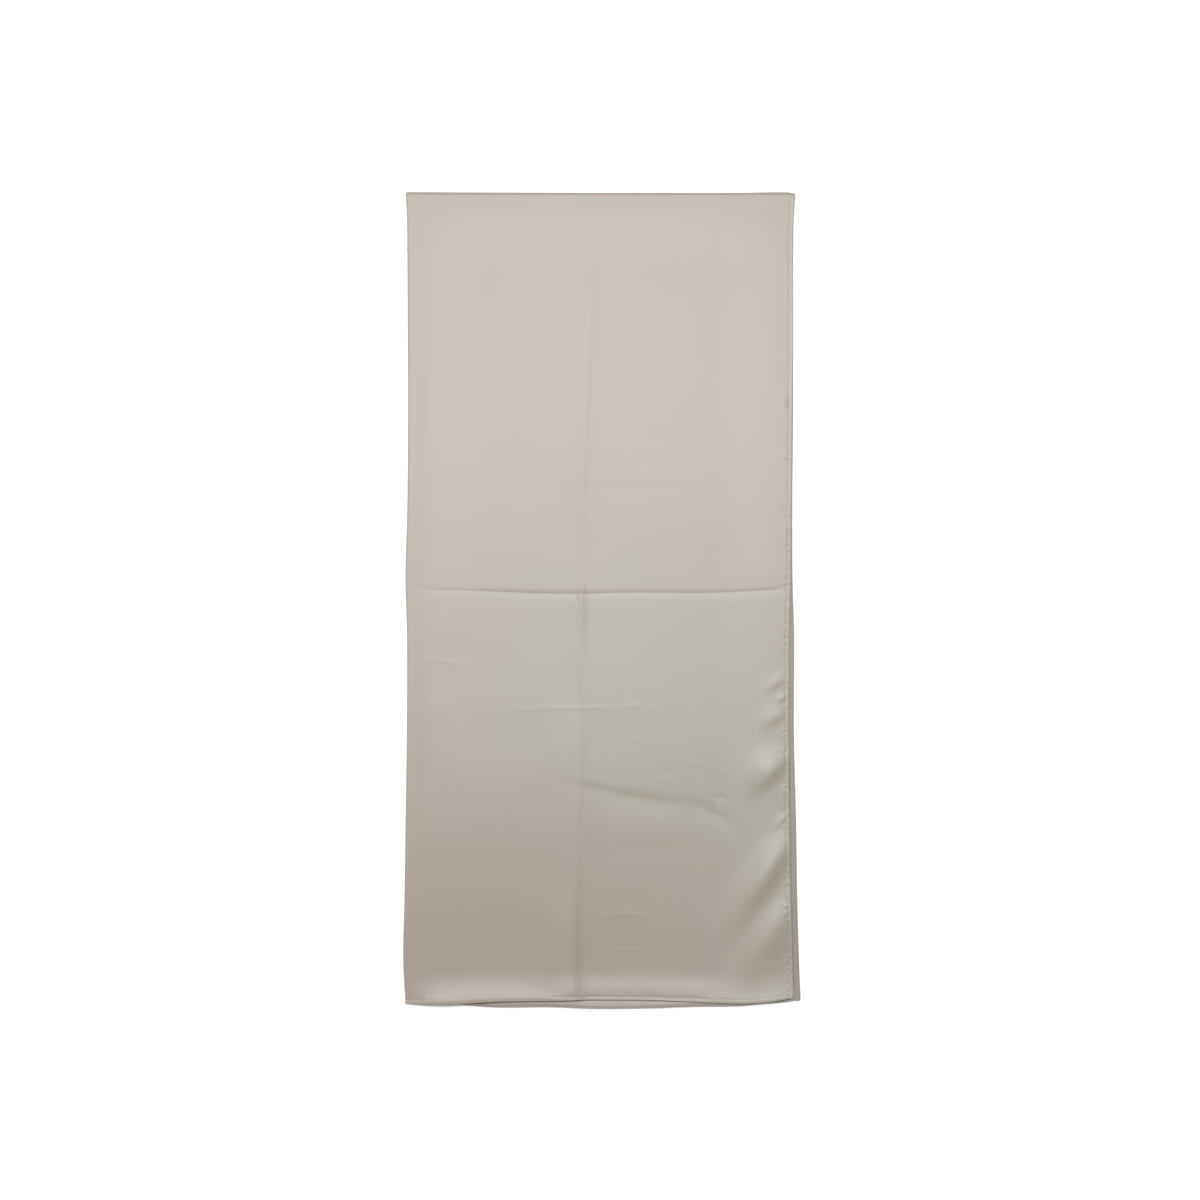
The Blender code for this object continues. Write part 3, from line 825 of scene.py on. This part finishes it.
def tube_piece(name, tubes, material):
    """A piece made of closed tubes: one hem, or a row of stitches."""
    mesh = bpy.data.meshes.new(name)
    work = bmesh.new()
    for points in tubes:
        add_tube(work, points)
    bmesh.ops.recalc_face_normals(work, faces=work.faces)
    work.to_mesh(mesh)
    work.free()
    smooth(mesh)
    mesh.materials.append(material)
    piece = bpy.data.objects.new(name, mesh)
    bpy.context.collection.objects.link(piece)
    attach(piece, "root")
    return piece


def side_hem(name, cloth, tuck, level, downs, turns):
    """A long hem, along a front layer, over the top fold and along a back layer."""
    share = (turns / math.pi)[:, None]
    along = np.where(turns > 0, -downs, downs)[:, None]
    inward, rise = hem_section(share, side_waves(cloth, HEM_INWARD, downs[:, None], turns[:, None]))
    lower = soft_noise(along * 0, along, 0.011, 32)
    flatter = mix(-0.5, 0.0, ease((downs - 0.20) / 0.20))[:, None]
    rise = rise + np.maximum(rise, 0) * (flatter + 0.12 * lower)
    insets = LAYER_WIDTH - tuck - inward * (1 + 0.025 * lower)
    points = outside(cloth, insets, level - rise, downs[:, None], turns[:, None], level)
    points[..., 2] = np.maximum(points[..., 2], HEM_LIFT)
    return tube_piece(name, [points], satin())


def end_hem(name, cloth, insets, turned, turn):
    """A short hem, along one layer, round the left fold and back along the next."""
    under = (turned > SIDE_RADIUS)[:, None]
    along = insets[:, None] * np.where(under, -1, 1)
    share = turned[:, None] / (2 * SIDE_RADIUS)
    shows = 1 - share if turn == 0 else share
    inward, shaped = hem_section(0, end_waves(cloth, HEM_INWARD, insets[:, None], under))
    plain = np.maximum(hem_section(1, np.zeros_like(share))[1], -HEM_THICKNESS)
    rise = mix(plain, shaped, shows)
    rise = rise + np.maximum(rise, 0) * (0.35 + 0.12 * soft_noise(along * 0, along, 0.013, 42))
    downs = LAYER_LENGTH - inward * (1 + 0.03 * soft_noise(along * 0, along, 0.017, 43))
    depths = mix(-rise, 2 * SIDE_RADIUS + rise, share)
    bulge = np.sqrt(np.maximum(0, 1 - (2 * share - 1) ** 2))
    moved = insets[:, None] - bulge * rise
    points = outside(cloth, moved, depths, downs, np.full_like(downs, turn), share * SECOND_LEVEL)
    if turn > 0:
        points[..., 2] += share * back_curl(moved, downs)
    over_side_hem = ease((insets - LAYER_WIDTH + SIDE_HEM_REACH) / 0.0010)[:, None]
    points[..., 2] = np.maximum(points[..., 2], mix(HEM_LIFT, UNDER_LIFT, over_side_hem))
    return tube_piece(name, [points], satin())


@maker_step
class SHAWL_OT_hems(bpy.types.Operator):
    """Turns the four hems"""

    bl_idname = "shawl.hems"
    bl_label = "Hems"

    def execute(self, context):
        cloth = context.scene.shawl_cloth
        fine = np.append(np.arange(HEM_STARTS, 0.8995, SIDE_RING_STEP), HEM_LAST_RING)
        plain = np.append(np.arange(HEM_STARTS, 0.8985, PLAIN_RING_STEP), HEM_LAST_RING)
        downs, turns = over_top_fold(fine, plain)
        outer = side_hem("outer_side_hem_roll", cloth, 0.0, 0.0, downs, turns)
        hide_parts("outer_side_hem")
        downs, turns = over_top_fold(plain, fine)
        inner = side_hem("inner_side_hem_roll", cloth, INNER_TUCK, SECOND_LEVEL, downs, turns)
        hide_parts("inner_side_hem")
        reach = np.arange(0.0026, LAYER_WIDTH - 0.0044, END_RING_STEP)
        under = np.arange(0.0026, LAYER_WIDTH - 0.0064, UNDER_RING_STEP)
        insets, turned = round_left_fold(under, reach)
        front = end_hem("front_end_hem_roll", cloth, insets, turned, 0.0)
        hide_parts("front_end_hem")
        back = end_hem("back_end_hem_roll", cloth, insets, turned, math.pi)
        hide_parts("back_end_hem")
        return {"FINISHED"}


@maker_step
class SHAWL_OT_stitches(bpy.types.Operator):
    """Sews the hems with a row of stitches each"""

    bl_idname = "shawl.stitches"
    bl_label = "Stitches"

    def execute(self, context):
        cloth = context.scene.shawl_cloth
        pitch = cloth.stitch_pitch
        runs = {
            "front_side": (np.arange(0.008, 0.892, pitch), LAYER_WIDTH, 0.0, True),
            "front_end": (np.arange(0.006, 0.419, pitch), LAYER_LENGTH, 0.0, False),
            "back_side": (np.arange(0.012, 0.892, pitch), LAYER_WIDTH, math.pi, True),
            "back_end": (np.arange(0.006, 0.419, pitch), LAYER_LENGTH, math.pi, False),
        }
        for name, (starts, edge, turn, along_side) in runs.items():
            loops = stitch_loops(cloth, starts, edge - STITCH_LINE, turn, along_side)
            tube_piece(f"{name}_stitches", loops, thread())
        return {"FINISHED"}


def stitch_loops(cloth, starts, line, turn, along_side):
    """Short thread loops lying in a row along a seam line on the outside of the stack."""
    half = 0.5 * cloth.thread_width
    along_loop, swell, lift = (np.array(column) for column in zip(*THREAD_LOOP))
    swell = half * swell
    lift = half * lift
    round_thread = np.linspace(0, 2 * math.pi, STITCH_SIDES, endpoint=False)
    length = STITCH_SHARE * cloth.stitch_pitch
    shifts = np.random.default_rng(41).uniform(-0.12, 0.12, (len(starts), 2)) * cloth.thread_width
    waves = side_waves if along_side else end_waves
    loops = []
    for start, shift in zip(starts, shifts):
        aside = line + shift[0] + np.outer(swell, np.cos(round_thread))
        run = np.broadcast_to((start + length * along_loop)[:, None], aside.shape)
        insets, downs = (aside, run) if along_side else (run, aside)
        below = np.full_like(insets, turn)
        raised = lift[:, None] + np.outer(swell, np.sin(round_thread))
        depth = np.zeros_like(insets)
        if turn == 0:
            depth = STITCH_SINK - waves(cloth, np.full_like(insets, STITCH_LINE), run, below > 0)
        else:
            raised = UNDER_STITCH - UNDER_FLATTENED * raised
        points = outside(cloth, insets, depth, downs, below)
        points[..., 2] = np.maximum(points[..., 2] + raised, 0)
        loops.append(points)
    return loops


@maker_step
class SHAWL_OT_front_layer(bpy.types.Operator):
    """Lays layer 1, with its left fold and the top fold"""

    bl_idname = "shawl.front_layer"
    bl_label = "Front Layer"

    def execute(self, context):
        cloth = context.scene.shawl_cloth
        sections = round_left_fold(UNDER_FOLD, spread(FRONT_COLUMNS))
        rows = over_top_fold(spread(FRONT_ROWS), OVER_FOLD)
        piece = cloth_sheet("front_satin", cloth, sections, rows)
        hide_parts("front_layer")
        return {"FINISHED"}


@maker_step
class SHAWL_OT_back_layer(bpy.types.Operator):
    """Lays layer 4 flat on the floor, with its left fold"""

    bl_idname = "shawl.back_layer"
    bl_label = "Back Layer"

    def execute(self, context):
        cloth = context.scene.shawl_cloth
        sections = round_left_fold(UNDER_FOLD, spread(BACK_COLUMNS))
        downs = np.concatenate([[BACK_START], spread(BACK_ROWS)])
        piece = cloth_sheet("back_satin", cloth, sections, (downs, np.full(len(downs), math.pi)))
        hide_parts("back_layer")
        return {"FINISHED"}


@maker_step
class SHAWL_OT_inner_layers(bpy.types.Operator):
    """Lays layers 2 and 3, which are joined inside the top fold"""

    bl_idname = "shawl.inner_layers"
    bl_label = "Inner Layers"

    def execute(self, context):
        cloth = context.scene.shawl_cloth
        insets = spread(INNER_COLUMNS)
        downs, turns = over_top_fold(spread(INNER_ROWS), spread(INNER_ROWS))
        share = (turns / math.pi)[:, None]
        x, y = plan(insets[None, :], downs[:, None], share)
        face = outside(cloth, insets[None, :], 0.0, downs[:, None], 0.0)[..., 2]
        low = cloth.wall + INNER_CLEARANCE
        high = face - cloth.wall - INNER_CLEARANCE
        z = mix(low, high, 0.5 + INNER_SPREAD * np.cos(turns)[:, None])
        z = z + share * back_curl(insets[None, :], downs[:, None])
        y = y + INNER_FOLD * np.sin(turns)[:, None]
        points = np.stack(np.broadcast_arrays(x, y, z), axis=-1)
        piece = grid_piece("inner_satin", points)
        wall = piece.modifiers.new("wall", "SOLIDIFY")
        wall.thickness = INNER_WALL
        wall.offset = 0
        apply_modifiers(piece)
        piece.data.materials.append(satin())
        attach(piece, "root")
        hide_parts("hidden_layers")
        return {"FINISHED"}


def soft_light(name, power, size, place, aim):
    """A soft box at a place, turned towards a point."""
    light = bpy.data.lights.new(name, "AREA")
    light.shape = "RECTANGLE"
    light.size = size[0]
    light.size_y = size[1]
    light.energy = power
    lamp = bpy.data.objects.new(name, light)
    lamp.location = place
    lamp.rotation_euler = (Vector(aim) - Vector(place)).to_track_quat("-Z", "Y").to_euler()
    bpy.context.collection.objects.link(lamp)
    return lamp


@maker_step
class SHAWL_OT_stage(bpy.types.Operator):
    """Sets up the floor, the soft lights and the camera straight above"""

    bl_idname = "shawl.stage"
    bl_label = "Studio"

    def execute(self, context):
        studio = context.scene.shawl_studio
        bpy.ops.mesh.primitive_plane_add(size=12, location=(0, 0, -FLOOR_GAP))
        floor = context.object
        floor.name = "floor"
        paper = bpy.data.materials.new("floor_paper")
        paper.use_nodes = True
        surface = paper.node_tree.nodes["Principled BSDF"]
        surface.inputs["Base Color"].default_value = (*studio.floor, 1)
        surface.inputs["Roughness"].default_value = 1.0
        surface.inputs["Specular IOR Level"].default_value = 0.0
        floor.data.materials.append(paper)

        world = bpy.data.worlds.new("studio")
        world.use_nodes = True
        world.node_tree.nodes["Background"].inputs["Color"].default_value = (1, 1, 1, 1)
        world.node_tree.nodes["Background"].inputs["Strength"].default_value = studio.fill
        context.scene.world = world
        soft_light("key", studio.key_power, size=(1.3, 0.7), place=(0.0, 0.52, 2.6), aim=(0, 0, 0))
        soft_light("side", studio.side_power, size=(0.5, 1.6), place=(-2.2, 0.3, 1.5), aim=(0, 0.1, 0))

        camera = bpy.data.cameras.new("camera")
        camera.sensor_fit = "HORIZONTAL"
        camera.sensor_width = 36
        camera.lens = camera.sensor_width * studio.camera_height / studio.frame_width
        eye = bpy.data.objects.new("camera", camera)
        eye.location = (CAMERA_ASIDE, 0, studio.camera_height + CLOTH_HEIGHT)
        context.collection.objects.link(eye)
        context.scene.camera = eye
        context.scene.view_settings.view_transform = "Standard"
        return {"FINISHED"}


class SHAWL_PT_panel(bpy.types.Panel):
    """The shawl's pieces and sizes in the sidebar"""

    bl_label = "Shawl"
    bl_idname = "SHAWL_PT_panel"
    bl_space_type = "VIEW_3D"
    bl_region_type = "UI"
    bl_category = "Shawl"

    def draw(self, context):
        for settings in (context.scene.shawl_cloth, context.scene.shawl_finish, context.scene.shawl_studio):
            box = self.layout.box()
            for name in settings.bl_rna.properties.keys():
                if name not in ("rna_type", "name"):
                    box.prop(settings, name)
        for step in MAKER:
            self.layout.operator(step.bl_idname)


SETTINGS = {"shawl_cloth": ShawlCloth, "shawl_finish": ShawlFinish, "shawl_studio": ShawlStudio}


def register():
    """Registers the settings, the operators and the panel."""
    for name, settings in SETTINGS.items():
        bpy.utils.register_class(settings)
        setattr(bpy.types.Scene, name, PointerProperty(type=settings))
    for step in MAKER:
        bpy.utils.register_class(step)
    bpy.utils.register_class(SHAWL_PT_panel)


def unregister():
    """Takes them out again, in the other order."""
    bpy.utils.unregister_class(SHAWL_PT_panel)
    for step in reversed(MAKER):
        bpy.utils.unregister_class(step)
    for name, settings in reversed(SETTINGS.items()):
        delattr(bpy.types.Scene, name)
        bpy.utils.unregister_class(settings)


def main():
    """Makes the shawl."""
    register()
    bpy.ops.shawl.hems()
    bpy.ops.shawl.stitches()
    bpy.ops.shawl.front_layer()
    bpy.ops.shawl.back_layer()
    bpy.ops.shawl.inner_layers()
    bpy.ops.shawl.stage()
    bpy.context.view_layer.update()


if __name__ == "__main__":
    main()
